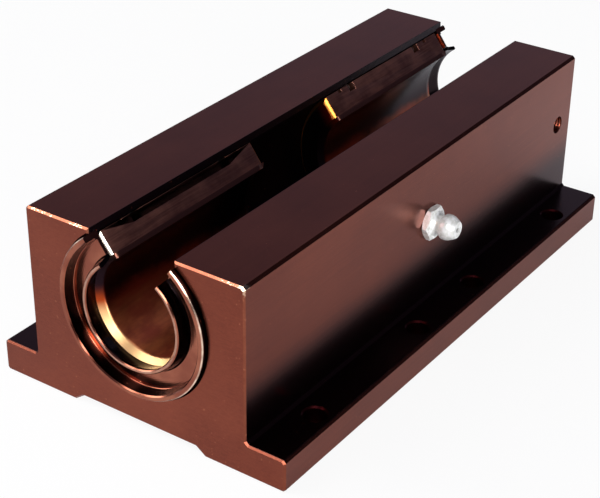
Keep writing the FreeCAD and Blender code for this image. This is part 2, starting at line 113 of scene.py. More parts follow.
class Field:
    """A number or a triple that varies over a surface; arithmetic on it adds nodes."""

    def __init__(self, book: "NodeBook", socket: bpy.types.NodeSocket) -> None:
        """Wrap one output socket of a node in the book's tree."""
        self.book = book
        self.socket = socket

    @property
    def triple(self) -> bool:
        """True where the socket carries a vector or a colour."""
        return self.socket.type in ("VECTOR", "RGBA")

    __add__ = maths("ADD")
    __radd__ = maths("ADD", swapped=True)
    __sub__ = maths("SUBTRACT")
    __rsub__ = maths("SUBTRACT", swapped=True)
    __mul__ = maths("MULTIPLY")
    __rmul__ = maths("MULTIPLY", swapped=True)
    __pow__ = maths("POWER")
    __abs__ = maths("ABSOLUTE")
    most = maths("MAXIMUM")
    least = maths("MINIMUM")
    sine = maths("SINE")
    root = maths("SQRT")

    def rise(self, low: float, high: float) -> "Field":
        """Smooth step from 0 at low to 1 at high; it falls where high is the lesser.

        Args:
            low: Value that gives 0.
            high: Value that gives 1.

        Returns:
            With t the clamped share of the way from low to high, t times t times (3 - 2t).
        """
        return self.book.node("ShaderNodeMapRange", self, low, high, 0.0, 1.0,
                              interpolation_type="SMOOTHSTEP")

    def band(self, low: float, high: float, soft: float) -> "Field":
        """1 between low and high, fading to 0 over a soft margin outside them."""
        return self.rise(low - soft, low) * self.rise(high + soft, high)

    def between(self, start: Term, end: Term) -> "Field":
        """Colour this share of the way from start to end."""
        return self.book.node("ShaderNodeMix", outlet=2, data_type="RGBA", Factor_Float=self,
                              A_Color=start, B_Color=end)

    def parts(self) -> tuple["Field", "Field", "Field"]:
        """The three parts of a triple."""
        node = self.book.node("ShaderNodeSeparateXYZ", self).socket.node
        return tuple(Field(self.book, node.outputs[i]) for i in range(3))


class NodeBook:
    """Adds nodes to one tree."""

    def __init__(self, tree: bpy.types.NodeTree) -> None:
        """Start with an empty tree."""
        self.tree = tree
        self.tree.nodes.clear()

    def plug(self, node: bpy.types.Node, key: Union[int, str], value: Any) -> None:
        """Give one input a value, or link a field to it.

        Args:
            node: Node that has the input.
            key: Its place, or its identifier.
            value: A field, a number or a triple; a number given to a vector fills it.
        """
        if isinstance(key, int):
            socket = node.inputs[key]
        else:
            socket = next(s for s in node.inputs if key in (s.identifier, s.name))
        if isinstance(value, Field):
            self.tree.links.new(value.socket, socket)
        elif socket.type == "RGBA":
            socket.default_value = (*value, 1.0)
        elif socket.type == "VECTOR" and not isinstance(value, tuple):
            socket.default_value = (value, value, value)
        else:
            socket.default_value = value

    def node(self, kind: str, *terms: Term, outlet: int = 0, **settings: Any) -> Field:
        """Add one node of any kind.

        Args:
            kind: Blender's name of the node's type.
            terms: Inputs in order.
            outlet: Which output to hand back.
            settings: Node properties, and inputs by name or identifier.

        Returns:
            The chosen output.
        """
        node = self.tree.nodes.new(kind)
        inputs = {}
        for name, value in settings.items():
            if name in node.bl_rna.properties:
                setattr(node, name, value)
            else:
                inputs[name] = value
        for key, value in [*enumerate(terms), *inputs.items()]:
            self.plug(node, key, value)
        return Field(self, node.outputs[outlet])


class Shader(NodeBook):
    """One material with a Principled surface, filled in by arithmetic on fields."""

    layer_gain = 0.55

    def __init__(self, name: str) -> None:
        """Start a material that holds only the surface and the output."""
        self.material = bpy.data.materials.new(name)
        self.material.use_nodes = True
        super().__init__(self.material.node_tree)
        self.surface = self.tree.nodes.new("ShaderNodeBsdfPrincipled")
        self.output = self.tree.nodes.new("ShaderNodeOutputMaterial")
        self.tree.links.new(self.surface.outputs[0], self.output.inputs["Surface"])

    def place(self) -> Field:
        """Object coordinates in millimetres."""
        return self.node("ShaderNodeTexCoord", outlet=3) * (1 / MM, 1 / MM, 1 / MM)

    def cloud(self, where: Field, scale: float, detail: float = 3.0) -> Field:
        """Fractal noise from about 0.2 to 0.8, round a middle of 0.5.

        Args:
            where: Coordinates.
            scale: Lumps to each unit of the coordinates.
            detail: How many finer layers are added.

        Returns:
            The noise; each finer layer is as strong as layer_gain times the one before.
        """
        return self.node("ShaderNodeTexNoise", Vector=where, Scale=scale, Detail=detail,
                         Roughness=self.layer_gain)

    def relief(self, height: Term, depth: float, under: Union[Field, None] = None) -> Field:
        """Surface direction bent by a height field.

        Args:
            height: Height, of order one.
            depth: Millimetres that one unit of height stands for.
            under: Direction to bend further, where there is one.

        Returns:
            The bent direction.
        """
        extra = {} if under is None else {"Normal": under}
        return self.node("ShaderNodeBump", Strength=1.0, Distance=depth * MM, Height=height,
                         **extra)

    def finish(self, **inputs: Any) -> bpy.types.Material:
        """Set the surface's inputs.

        Args:
            inputs: Values by input name, with an underscore for each space.

        Returns:
            The finished material.
        """
        for key, value in inputs.items():
            self.plug(self.surface, key.replace("_", " "), value)
        return self.material


# ---- sizes of the block that patterns and pieces line up with ---------------------------
@dataclass(frozen=True)
class BlockSizes:
    """Places of the block's faces and edges, in millimetres; half_opening is in degrees."""

    half_length: float
    half_base: float
    height: float
    half_bearing: float
    half_pitch: float
    centre: float
    hole_across: float
    hole_middle: float
    hole_step: float
    half_body: float = 30.7
    flange: float = 8.5
    half_slot: float = 12.03
    corner_break: float = 0.7
    end_break: float = 0.45
    housing_bore: float = 20.155
    half_opening: float = 37.0


def read_block() -> BlockSizes:
    """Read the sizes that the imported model's boxes, joints and mounts give.

    Returns:
        The block's sizes, rounded to a tenth of a micrometre.
    """
    _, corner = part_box("housing")
    near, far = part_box("rear_bearing_shell")
    record = frame["record"]
    pivot = next(joint["pos_m"] for joint in record["behaviour"]["joints"]
                 if joint["name"] == "rear_alignment")
    bolts = {mount["name"]: mount["dims"] for mount in record["mounts"]}
    outer, inner = bolts["outer_bolts"], bolts["inner_bolts"]
    sizes = {
        "half_length": corner.y / MM,
        "half_base": corner.x / MM,
        "height": corner.z / MM,
        "half_bearing": (far.y - near.y) / 2 / MM,
        "half_pitch": pivot[1] / MM,
        "centre": pivot[2] / MM,
        "hole_across": outer["spacing_x_mm"] / 2,
        "hole_middle": (outer["spacing_y_mm"] + inner["spacing_y_mm"]) / 4,
        "hole_step": (outer["spacing_y_mm"] - inner["spacing_y_mm"]) / 4,
    }
    return BlockSizes(**{name: round(size, 4) for name, size in sizes.items()})


BLOCK = read_block()


# ---- finishes ---------------------------------------------------------------------------
@dataclass(frozen=True)
class Finish:
    """A finish; its material method gives the Blender material."""

    name: str

    def material(self) -> bpy.types.Material:
        """The Blender material of this finish."""
        raise NotImplementedError


@dataclass(frozen=True)
class Anodised(Finish):
    """Hard anodised extrusion: a brown film, drawing lines along Y and bare, rubbed edges that are
    partly painted highlight, with painted shade in the recesses and at the foot.
    """

    film: Tint = shade(134, 68, 49)
    deep: Tint = shade(112, 54, 40)
    bare_and_highlight: Tint = shade(240, 208, 176)
    rubbed_and_highlight: Tint = shade(186, 118, 88)
    painted_shade: Tint = shade(34, 24, 32)
    hole_shade: Tint = shade(78, 20, 24)
    hole_edge: float = 3.15
    foot_shade_strength: float = 0.85
    foot_shade_full: float = 8.0
    foot_shade_gone: float = 19.0

    @staticmethod
    def end_face(along: Field) -> Field:
        """1 on the two sawn and milled ends, by distance from the middle along Y."""
        return along.rise(BLOCK.half_length - 3 * HAIR, BLOCK.half_length - HAIR)

    @staticmethod
    def on_bevel(across: Field, face: float, lead: float = 0.2) -> Field:
        """1 on a bevel and beyond it, fading out before it.

        Args:
            across: Distance measured square to the bevel's first edge.
            face: Value of that distance where the bevel begins.
            lead: How far before the bevel the fade begins.
        """
        return across.rise(face - lead, face + 2 * HAIR)

    def shaded_inner_faces(self, place: Field) -> tuple[Field, Field]:
        """Where painted shade darkens the film, in the recesses.

        Args:
            place: Coordinates in millimetres.

        Returns:
            1 on the slot's and the bore's walls, and 1 in the mounting holes.
        """
        x, y, z = place.parts()
        side, up = abs(x), z - BLOCK.centre
        out = (x ** 2 + up ** 2).root()
        slot = side.rise(BLOCK.half_slot + 12 * HAIR, BLOCK.half_slot + 5 * HAIR)
        slot = slot * z.rise(BLOCK.centre, BLOCK.centre + 1.0)
        bore = out.rise(BLOCK.housing_bore + 12 * HAIR, BLOCK.housing_bore + 5 * HAIR)
        across = side - BLOCK.hole_across
        along = abs(abs(y) - BLOCK.hole_middle) - BLOCK.hole_step
        holes = (across ** 2 + along ** 2).root().rise(self.hole_edge + 0.2, self.hole_edge)
        return slot.most(bore), holes

    def shaded_foot(self, place: Field) -> Field:
        """Painted shade that darkens the film: the flange tops and the foot of the body above
        them.

        Args:
            place: Coordinates in millimetres.

        Returns:
            Strength of the painted shade, from 0 to 1.
        """
        x, y, z = place.parts()
        side = abs(x)
        low = z.rise(BLOCK.flange + self.foot_shade_gone, BLOCK.flange + self.foot_shade_full)
        above = z.rise(BLOCK.flange - 0.3, BLOCK.flange - 0.1)
        between_edges = side.band(BLOCK.half_body - 0.1, BLOCK.half_base - 0.5, 0.05)
        along = abs(y).rise(BLOCK.half_length - 0.3, BLOCK.half_length - 0.5)
        return low * above * between_edges * along

    def edge_wear_and_highlight(self, shader: Shader, place: Field) -> tuple[Field, Field]:
        """Where the film has been rubbed off the outer edges, with a painted highlight on the
        upper ones.

        Args:
            shader: Shader being filled.
            place: Coordinates in millimetres.

        Returns:
            Bevels rubbed thin with painted highlight, from 0 to 1, and nicks down to bare metal
            with the painted corner highlight, from 0 to 1.
        """
        x, y, z = place.parts()
        side, along = abs(x), abs(y)
        ends = self.on_bevel(along, BLOCK.half_length - BLOCK.end_break, 0.12)
        ends = ends * (1.0 - self.end_face(along))
        top = self.on_bevel(side + z, BLOCK.half_body + BLOCK.height - BLOCK.corner_break)
        on_flange = side.rise(BLOCK.half_body + 4, BLOCK.half_body + 5)
        foot = self.on_bevel(side + z, BLOCK.half_base + BLOCK.flange - BLOCK.corner_break)
        foot = foot * on_flange
        under = self.on_bevel(side - z, BLOCK.half_base - BLOCK.corner_break)
        long_edges = top.most(foot).most(under)
        patchy = shader.cloud(place, 0.22, 4.0).rise(0.36, 0.62)
        fine = shader.cloud(place, 2.6, 2.0).rise(0.35, 0.7)
        # Hands and tools reach the upper edges of the ends, which also carry a painted highlight;
        # the lower ones stay nearly whole.
        high = z.rise(BLOCK.height - 3.0, BLOCK.height - 0.5)
        worn_and_lit = 0.14 + 0.12 * z.rise(BLOCK.flange, BLOCK.height) + 0.44 * high
        ends = ends * worn_and_lit
        thin_and_highlight = (ends * (0.45 + 0.55 * patchy)).most(long_edges * patchy * 0.12)
        # Painted highlight: the front right top corner is painted bare and bright in place of the
        # glint on it.
        from_lit_corner = place - (BLOCK.half_body, -BLOCK.half_length, BLOCK.height)
        near = shader.node("ShaderNodeVectorMath", from_lit_corner, outlet=1, operation="LENGTH")
        corner = (near + 1.6 * fine).rise(3.0, 1.6) * ends.most(top)
        nicks_and_highlight = (ends.most(long_edges * 0.3) * fine * patchy).rise(0.35, 0.6).most(corner)
        return thin_and_highlight, nicks_and_highlight

    def material(self) -> bpy.types.Material:
        """Brown metal with mottling, fine grain, drawing lines and worn edges that are partly
        painted highlight, with painted shade in the recesses and at the foot.
        """
        shader = Shader(self.name)
        place = shader.place()
        mottle = shader.cloud(place, 0.045, 4.0)
        grain = shader.cloud(place, 2.2, 3.0)
        drawn = shader.cloud(place * (1.9, 0.035, 1.9), 1.0, 4.0)
        _, y, _ = place.parts()
        end_face = self.end_face(abs(y))
        milled = shader.cloud(place * (0.5, 1.0, 3.2), 1.0, 3.0)
        lines = end_face * milled + (1.0 - end_face) * drawn
        tone = (0.55 * mottle + 0.3 * grain + 0.35 * lines).rise(0.35, 0.85)
        thin_and_highlight, nicks_and_highlight = self.edge_wear_and_highlight(shader, place)
        specks = shader.cloud(place, 1.1, 1.0).rise(0.735, 0.77)
        colour = tone.between(self.deep, self.film)
        shaded_inside, holes = self.shaded_inner_faces(place)
        # Painted shade: the flange tops and the foot of the body are darkened, most low down.
        foot_shade = self.shaded_foot(place) * self.foot_shade_strength
        colour = foot_shade.between(colour, self.painted_shade)
        # Painted shade: the slot's and the bore's walls are painted dark, and the mounting holes
        # dark red as a painted red glow.
        colour = shaded_inside.between(holes.between(colour, self.hole_shade), self.painted_shade)
        colour = (specks * 0.35).between(colour, self.rubbed_and_highlight)
        # Wear and painted highlight: the rubbed bevels are painted lighter.
        colour = (thin_and_highlight * 0.9).between(colour, self.rubbed_and_highlight)
        # Nicks to bare metal, with the painted highlight on the front right top corner.
        colour = nicks_and_highlight.between(colour, self.bare_and_highlight)
        rough = 0.17 + 0.10 * grain + 0.05 * mottle + 0.04 * thin_and_highlight + 0.20 * shaded_inside
        bend = shader.relief(grain, 0.006)
        bend = shader.relief(lines, 0.010, bend)
        return shader.finish(Base_Color=colour, Metallic=1.0, Roughness=rough, Normal=bend,
                             Coat_Weight=0.08 * (1.0 - shaded_inside), Coat_Roughness=0.25)


def along_bearing(y: Field) -> tuple[Field, Field]:
    """Where a point is along its own bearing.

    Args:
        y: Coordinate along the shaft.

    Returns:
        Distance from the bearing's middle, and 1 on the half nearer the block's end.
    """
    along = abs(y)
    return (abs(along - BLOCK.half_pitch),
            along.rise(BLOCK.half_pitch, BLOCK.half_pitch + 1.0))


def beyond_saw(place: Field) -> Field:
    """How far a point lies below the saw cut that opens a bearing.

    Args:
        place: Coordinates in millimetres.

    Returns:
        Distance from the nearer cut face, 0 on it and positive in the metal.
    """
    x, _, z = place.parts()
    opening = np.radians(BLOCK.half_opening)
    return abs(x) * float(np.cos(opening)) - (z - BLOCK.centre) * float(np.sin(opening))


@dataclass(frozen=True)
class ShellMetal(Finish):
    """Bearing shell: dull bronze-brown metal, streaked along Y, with bright breaks at the ends
    that are partly bare metal and partly painted highlight.
    """

    body: Tint = shade(205, 140, 118)
    dark: Tint = shade(130, 84, 76)
    # film is painted shade and glow a painted red glow, both on the inner end faces.
    film: Tint = shade(30, 20, 24)
    glow: Tint = shade(170, 40, 26)
    break_bare_and_highlight: Tint = shade(250, 240, 222)
    inner_break_reflection: Tint = shade(236, 150, 66)
    end_break: float = 1.0
    glow_reach: float = 5.0

    def material(self) -> bpy.types.Material:
        """Brown metal with lengthwise streaks; the breaks at the ends are bright, partly bare
        metal and partly painted highlight.
        """
        shader = Shader(self.name)
        place = shader.place()
        _, y, _ = place.parts()
        streak = shader.cloud(place * (2.4, 0.10, 2.4), 1.0, 4.0)
        blot = shader.cloud(place, 0.16, 3.0)
        grain = shader.cloud(place, 3.0, 2.0)
        from_middle, outer_end = along_bearing(y)
        # The break at each end is bright, partly bare metal and partly painted highlight, with a
        # painted golden reflection at the inner ends; the end face behind it keeps its film.
        on_end = from_middle.rise(BLOCK.half_bearing - 3 * HAIR, BLOCK.half_bearing - HAIR)
        broken = BLOCK.half_bearing - self.end_break
        break_bare_and_highlight = from_middle.rise(broken - 2 * HAIR, broken + 2 * HAIR) * (1.0 - on_end)
        tone = (0.4 * streak + 0.6 * blot).rise(0.28, 0.74)
        colour = break_bare_and_highlight.between(tone.between(self.dark, self.body),
                               outer_end.between(self.inner_break_reflection, self.break_bare_and_highlight))
        # Painted shade: the inner end faces are painted dark, with a painted red glow beside the
        # saw cut.
        glow_near_saw = beyond_saw(place).rise(self.glow_reach, 0.2)
        inner_end = on_end * (1.0 - outer_end)
        colour = inner_end.between(colour, glow_near_saw.between(self.film, self.glow))
        rough = 0.30 + 0.16 * streak + 0.06 * grain - 0.08 * break_bare_and_highlight
        bend = shader.relief(streak, 0.012, shader.relief(grain, 0.004))
        return shader.finish(Base_Color=colour, Metallic=1.0, Roughness=rough, Normal=bend)


@dataclass(frozen=True)
class LinerSurface(Finish):
    """Plain bearing liner: bronze where the shaft runs, painted shade above, turned lead-ins with
    a painted highlight and glow.
    """

    lead_in_highlight: Tint = shade(250, 200, 140)
    red_glow: Tint = shade(168, 66, 28)
    brown: Tint = shade(250, 142, 88)
    dark: Tint = shade(196, 92, 66)
    # film is painted shade on the upper bore and on the lead-ins.
    film: Tint = shade(38, 24, 30)
    sawn: Tint = shade(140, 92, 78)
    lead_in: float = 1.1
    roll: float = 1.3
    glow_reach: float = 5.0

    def material(self) -> bpy.types.Material:
        """Copper-brown metal with soft blotches, a painted gold highlight on the lower outer
        lead-ins and a painted red glow at the inner ends.
        """
        shader = Shader(self.name)
        place = shader.place()
        _, y, z = place.parts()
        past_saw = beyond_saw(place)
        kept = past_saw.rise(2 * HAIR, 8 * HAIR)
        streak = shader.cloud(place * (0.9, 0.10, 0.9), 1.0, 3.0)
        blot = shader.cloud(place * (0.20, 0.12, 0.20), 1.0, 3.0)
        tone = (0.25 * streak + 0.9 * blot).rise(0.38, 0.78)
        # Painted shade: the upper part of the bore is painted dark.
        upper_bore_shade = (z + 6.0 * blot).rise(BLOCK.centre - 6.5, BLOCK.centre + 2.0)
        from_middle, outer_end = along_bearing(y)
        rolled_from = BLOCK.half_bearing - self.lead_in - self.roll
        turned = from_middle.rise(rolled_from, rolled_from + self.roll)
        bore = upper_bore_shade.between(tone.between(self.dark, self.brown), self.film)
        # Painted highlight: the outer lead-in runs from painted shade at the top through a red
        # glow to a gold highlight at the bottom.
        lit = z.rise(BLOCK.centre + 3.0, BLOCK.centre - 8.0)
        outer = lit.rise(0.0, 0.5).between(self.film, self.red_glow)
        outer = lit.rise(0.45, 1.0).between(outer, self.lead_in_highlight)
        # Painted reflection: the inner lead-in glows red beside the saw cut and is painted dark
        # elsewhere.
        inner = past_saw.rise(self.glow_reach, 0.5).between(self.film, self.red_glow)
        colour = turned.between(bore, outer_end.between(inner, outer))
        colour = kept.between(self.sawn, colour)
        rough = 0.25 + 0.06 * streak + 0.04 * blot + 0.10 * turned
        # The bore rolls over into its lead-in: the slope grows from 0 to 1 over the roll.
        into = (from_middle - rolled_from).most(0.0).least(self.roll)
        rolled = (into ** 2) * (-0.5 / self.roll)
        bend = shader.relief(streak, 0.002, shader.relief(rolled, 1.0))
        matt = 0.16 * (1.0 - upper_bore_shade) * (1.0 - turned)
        return shader.finish(Base_Color=colour, Metallic=1.0 - matt, Roughness=rough,
                             Normal=bend)


@dataclass(frozen=True)
class Rubber(Finish):
    """Moulded nitrile cord: near black, dusty, with a fine grain."""

    black: Tint = shade(26, 22, 24)
    dust: Tint = shade(78, 62, 56)

    def material(self) -> bpy.types.Material:
        """Soft black with dusty patches."""
        shader = Shader(self.name)
        place = shader.place()
        dust = shader.cloud(place, 0.5, 4.0).rise(0.42, 0.75)
        grain = shader.cloud(place, 6.0, 2.0)
        bend = shader.relief(grain, 0.008)
        return shader.finish(Base_Color=(dust * 0.6).between(self.black, self.dust),
                             Metallic=0.0, Roughness=0.42 + 0.25 * dust, Normal=bend)


class SealPart(Enum):
    """Which part of a seal a finish is for."""

    CASE = "case"
    LIP = "lip"


@dataclass(frozen=True)
class SealGloss(Finish):
    """Seal: smooth brown skin, with a light line where the rim is worn and painted as a highlight,
    and painted shade on the walls.
    """

    part: SealPart
    skin: Tint = shade(162, 98, 74)
    shadow: Tint = shade(134, 72, 54)
    # black is painted shade on the shaded walls.
    black: Tint = shade(34, 22, 24)
    rim_wear_and_highlight: Tint = shade(240, 214, 190)
    wall: tuple[float, float] = (19.03, 19.14)
    rim_radius: float = 20.22
    outer_radius: float = 20.51
    rim_stand: float = 1.2
    lip_stand: float = 1.29

    def material(self) -> bpy.types.Material:
        """Glossy brown with faint turning rings, a pale rim that is partly a painted highlight,
        and painted shade on the walls.
        """
        shader = Shader(self.name)
        place = shader.place()
        x, y, z = place.parts()
        out = (x ** 2 + (z - BLOCK.centre) ** 2).root()
        proud = abs(y) - BLOCK.half_length
        wave = shader.cloud(place, 0.12, 3.0)
        grain = shader.cloud(place, 4.0, 2.0)
        rings = (out * 14.0 + 3.0 * wave).sine()
        if self.part is SealPart.CASE:
            rim_wear_and_highlight = (out.rise(self.rim_radius, self.rim_radius + 12 * HAIR)
                   * proud.rise(self.rim_stand - 8 * HAIR, self.rim_stand))
            # Painted shade: both sides of the wall and the case's outer face are painted near
            # black.
            wall = out.band(*self.wall, 2 * HAIR) * proud.rise(-1.44, -1.40)
            outside = out.rise(self.outer_radius, self.outer_radius + 2 * HAIR)
            wall_shade = (wall.most(outside)
                       * proud.rise(self.rim_stand, self.rim_stand - 6 * HAIR))
        else:
            rim_wear_and_highlight = proud.rise(self.lip_stand - 3 * HAIR, self.lip_stand) * 0.25
            # Painted shade: the lip is painted near black behind its front edge.
            wall_shade = proud.rise(1.02, 0.94)
        # Wear and painted highlight: the rim is painted pale in patches.
        rubbed_and_highlight = rim_wear_and_highlight * (0.45 + 0.55 * shader.cloud(place, 0.35, 3.0).rise(0.4, 0.6))
        specks = shader.cloud(place, 0.9, 1.0).rise(0.74, 0.77)
        colour = wave.rise(0.35, 0.65).between(self.shadow, self.skin)
        # Painted shade: the shaded walls are painted near black.
        colour = wall_shade.between(colour, self.black)
        colour = rubbed_and_highlight.most(specks * 0.7).between(colour, self.rim_wear_and_highlight)
        rough = 0.11 + 0.08 * wave + 0.05 * grain + 0.06 * rubbed_and_highlight
        bend = shader.relief(rings, 0.0015, shader.relief(grain, 0.003))
        return shader.finish(Base_Color=colour, Metallic=1.0, Roughness=rough, Normal=bend,
                             Coat_Weight=0.15, Coat_Roughness=0.12)


@dataclass(frozen=True)
class Plated(Finish):
    """Zinc plated steel: bright, faintly mottled, with rings from turning about X."""

    bright: Tint = shade(250, 251, 250)
    dull: Tint = shade(222, 224, 218)

    def material(self) -> bpy.types.Material:
        """Bright metal with small blotches and turning rings."""
        shader = Shader(self.name)
        place = shader.place()
        x, _, _ = place.parts()
        blot = shader.cloud(place, 0.9, 4.0)
        grain = shader.cloud(place, 5.0, 2.0)
        rings = (x * 22.0 + blot * 2.0).sine()
        colour = blot.rise(0.38, 0.62).between(self.dull, self.bright)
        bend = shader.relief(rings, 0.0012, shader.relief(grain, 0.003))
        return shader.finish(Base_Color=colour, Metallic=0.3, Normal=bend,
                             Roughness=0.24 + 0.14 * blot + 0.04 * grain)


@dataclass(frozen=True)
class Steel(Finish):
    """Hardened steel of the ball, the spring and the screws."""

    light: Tint = shade(150, 150, 152)
    dark: Tint = shade(96, 94, 98)
    base_roughness: float = 0.16

    def material(self) -> bpy.types.Material:
        """Grey metal with fine scuffs."""
        shader = Shader(self.name)
        place = shader.place()
        scuff = shader.cloud(place * (3.0, 1.0, 1.0), 2.0, 4.0)
        colour = scuff.rise(0.36, 0.64).between(self.dark, self.light)
        return shader.finish(Base_Color=colour, Metallic=1.0,
                             Roughness=self.base_roughness + 0.18 * scuff,
                             Normal=shader.relief(scuff, 0.003))


@dataclass(frozen=True)
class Floor(Finish):
    """White paper sweep; rays from the camera and off metal see part of it as plain white."""

    paper: Tint = (0.93, 0.93, 0.93)
    shaded_paper: Tint = (0.88, 0.88, 0.88)
    glow: float = 0.9
    mirrored_glow: float = 0.08

    def material(self) -> bpy.types.Material:
        """Matt white with a faint paper tooth, mixed with plain white for seen rays."""
        shader = Shader(self.name)
        place = shader.place()
        tooth = shader.cloud(place, 0.6, 3.0)
        shader.finish(Base_Color=(0.02 * tooth).between(self.paper, self.shaded_paper),
                      Roughness=0.95, Normal=shader.relief(tooth, 0.01))
        path = shader.node("ShaderNodeLightPath").socket.node
        seen, glossy, through = (Field(shader, path.outputs[name]) for name in
                                 ("Is Camera Ray", "Is Glossy Ray", "Is Transmission Ray"))
        white = shader.node("ShaderNodeEmission", (1.0, 1.0, 1.0), 1.0)
        lit = Field(shader, shader.surface.outputs[0])
        share = (seen * self.glow).most(glossy.most(through) * self.mirrored_glow)
        mixed = shader.node("ShaderNodeMixShader", share, lit, white)
        shader.tree.links.new(mixed.socket, shader.output.inputs["Surface"])
        return shader.material


# ---- mesh helpers -----------------------------------------------------------------------
def grid_faces(rows: int, columns: int, closed_rows: bool, closed_columns: bool) -> np.ndarray:
    """Four-cornered faces of a grid of points stored row by row.

    Args:
        rows: Points along the first parameter.
        columns: Points along the second.
        closed_rows: Whether the last row joins the first.
        closed_columns: Whether the last column joins the first.

    Returns:
        One row of four point numbers for each face: (i, j), (i, j+1), (i+1, j+1), (i+1, j).
    """
    i = np.arange(rows if closed_rows else rows - 1)[:, None]
    j = np.arange(columns if closed_columns else columns - 1)[None, :]
    i, j = (part.ravel() for part in np.broadcast_arrays(i, j))
    i_next, j_next = (i + 1) % rows, (j + 1) % columns
    return np.stack([i * columns + j, i * columns + j_next,
                     i_next * columns + j_next, i_next * columns + j], axis=1)


def outward(points: np.ndarray, faces: np.ndarray) -> np.ndarray:
    """Faces turned, where needed, so that a closed surface encloses a positive volume.

    The volume is a sixth of the sum over triangles of the first corner dotted with the cross
    product of the other two.
    """
    halves = np.concatenate([faces[:, [0, 1, 2]], faces[:, [0, 2, 3]]])
    a, b, c = (points[halves[:, k]] for k in range(3))
    volume = np.einsum("ij,ij->i", a, np.cross(b, c)).sum() / 6
    return faces if volume > 0 else faces[:, ::-1]


@dataclass
class Piece:
    """Base of the pieces that are built here. Lengths are millimetres."""

    name: str
    body: str
    slot: str
    finish: Finish

    def put(self, points: np.ndarray, faces: np.ndarray, smooth: float,
            caps: tuple[np.ndarray, ...] = ()) -> bpy.types.Object:
        """Make one closed mesh object from arrays.

        Args:
            points: Places in millimetres, one row each.
            faces: Four-cornered faces.
            smooth: Edges flatter than this many degrees are shaded smooth.
            caps: Rings of point numbers, each closed by one flat face.

        Returns:
            The new object, dressed in the piece's finish.
        """
        mesh = bpy.data.meshes.new(self.name)
        rings = [face.tolist() for face in faces] + [cap.tolist() for cap in caps]
        mesh.from_pydata((points * MM).tolist(), [], rings)
        return self.show(mesh, smooth)

    def put_tube(self, points: np.ndarray, rings: int, sides: int) -> bpy.types.Object:
        """Make a tube from rings of points, with a flat face over each end.

        Args:
            points: Places in millimetres, ring after ring.
            rings: How many rings there are.
            sides: Points in each ring.

        Returns:
            The new object.
        """
        faces = outward(points, grid_faces(rings, sides, False, True))
        first = np.arange(sides)
        last = first + (rings - 1) * sides
        caps = (first, last[::-1]) if faces[0][0] < faces[0][1] else (first[::-1], last)
        return self.put(points, faces, 80.0, caps)

    def show(self, mesh: bpy.types.Mesh, smooth: float) -> bpy.types.Object:
        """Dress a mesh and add it to the scene.

        Args:
            mesh: Mesh in metres, named as its object will be.
            smooth: Edges flatter than this many degrees are shaded smooth.

        Returns:
            The new object, riding on the piece's body.
        """
        mesh.validate()
        mesh.update()
        mesh.shade_smooth()
        mesh.set_sharp_from_angle(angle=np.radians(smooth))
        mesh.materials.clear()
        mesh.materials.append(FINISHES.material(self.finish))
        made = bpy.data.objects.new(mesh.name, mesh)
        bpy.context.scene.collection.objects.link(made)
        self.carry(made)
        return made

    def carry(self, made: bpy.types.Object) -> None:
        """Let a new object ride on the piece's body."""
        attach(made, self.body)


@dataclass
class OpenCord(Piece):
    """O-ring cut open at the top, lying in its groove round the bearing."""

    along: float = 0.0
    section: float = 1.78
    bore_gap: float = 0.03
    opening: float = 80.0
    steps: int = 160
    dome_steps: int = 5
    dome_room: int = 3
    sides: int = 24

    def build(self) -> bpy.types.Object:
        """A round section carried along an arc about the shaft, with domed ends.

        At angle a from straight up and angle b round the section, the point is
        ((R + r cos b) sin a, Y + r sin b, C + (R + r cos b) cos a), R being the cord's own
        radius of turn and r half its section. At each end r shrinks as the cosine of a quarter
        turn while the centre moves on by its sine, a third as far.

        Returns:
            The cord's object.
        """
        thick = self.section / 2
        radius = BLOCK.housing_bore - self.bore_gap - thick
        start = np.radians(self.opening / 2)
        run = np.linspace(start, 2 * np.pi - start, self.steps)
        run = run[self.dome_room:-self.dome_room]
        dome = np.linspace(np.pi / 2, 0, self.dome_steps + 1)[:-1]
        moved = start + (1 - np.sin(dome)) * thick / 3 / radius
        shrunk = np.maximum(np.cos(dome), 0.02)
        a = np.concatenate([moved, run, 2 * np.pi - moved[::-1]])[:, None]
        size = np.concatenate([shrunk, np.ones(len(run)), shrunk[::-1]]) * thick
        b = np.linspace(0, 2 * np.pi, self.sides, endpoint=False)[None, :]
        reach = radius + size[:, None] * np.cos(b)
        points = np.stack([reach * np.sin(a), self.along + size[:, None] * np.sin(b),
                           BLOCK.centre + reach * np.cos(a)], axis=-1).reshape(-1, 3)
        return self.put_tube(points, len(a), self.sides)


@dataclass
class CoilSpring(Piece):
    """Check spring behind the ball."""

    moving_body: str = "check_ball"
    node: str = "grease_check_spring"
    wire: float = 0.3
    coils: int = 5
    steps: int = 150
    sides: int = 12

    def ends(self) -> tuple[np.ndarray, np.ndarray]:
        """Corners of the spring's own box, in millimetres."""
        low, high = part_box(self.node)
        return np.array(low) / MM, np.array(high) / MM

    def build(self) -> bpy.types.Object:
        """A round wire along a helix about X.

        At turn t, from 0 to 1, the wire's middle is (X + L t, R cos c, C + R sin c) with
        c = 2 pi n t, n being the number of coils; the section lies in the plane of X and the
        radius, so its point at angle b is further by r cos b outward and r sin b along X.

        Returns:
            The spring's object.
        """
        low, high = self.ends()
        thick = self.wire / 2
        radius = (high[1] - low[1]) / 2 - thick
        middle = (low + high) / 2
        t = np.linspace(0, 1, self.steps)[:, None]
        b = np.linspace(0, 2 * np.pi, self.sides, endpoint=False)[None, :]
        c = 2 * np.pi * self.coils * t
        along = low[0] + thick + (high[0] - low[0] - 2 * thick) * t
        reach = radius + thick * np.cos(b)
        points = np.stack([along + thick * np.sin(b), middle[1] + reach * np.cos(c),
                           middle[2] + reach * np.sin(c)], axis=-1).reshape(-1, 3)
        return self.put_tube(points, self.steps, self.sides)

    def carry(self, made: bpy.types.Object) -> None:
        """Bake the spring's place into its mesh; it rides on no body."""
        low, high = self.ends()
        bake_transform(made)


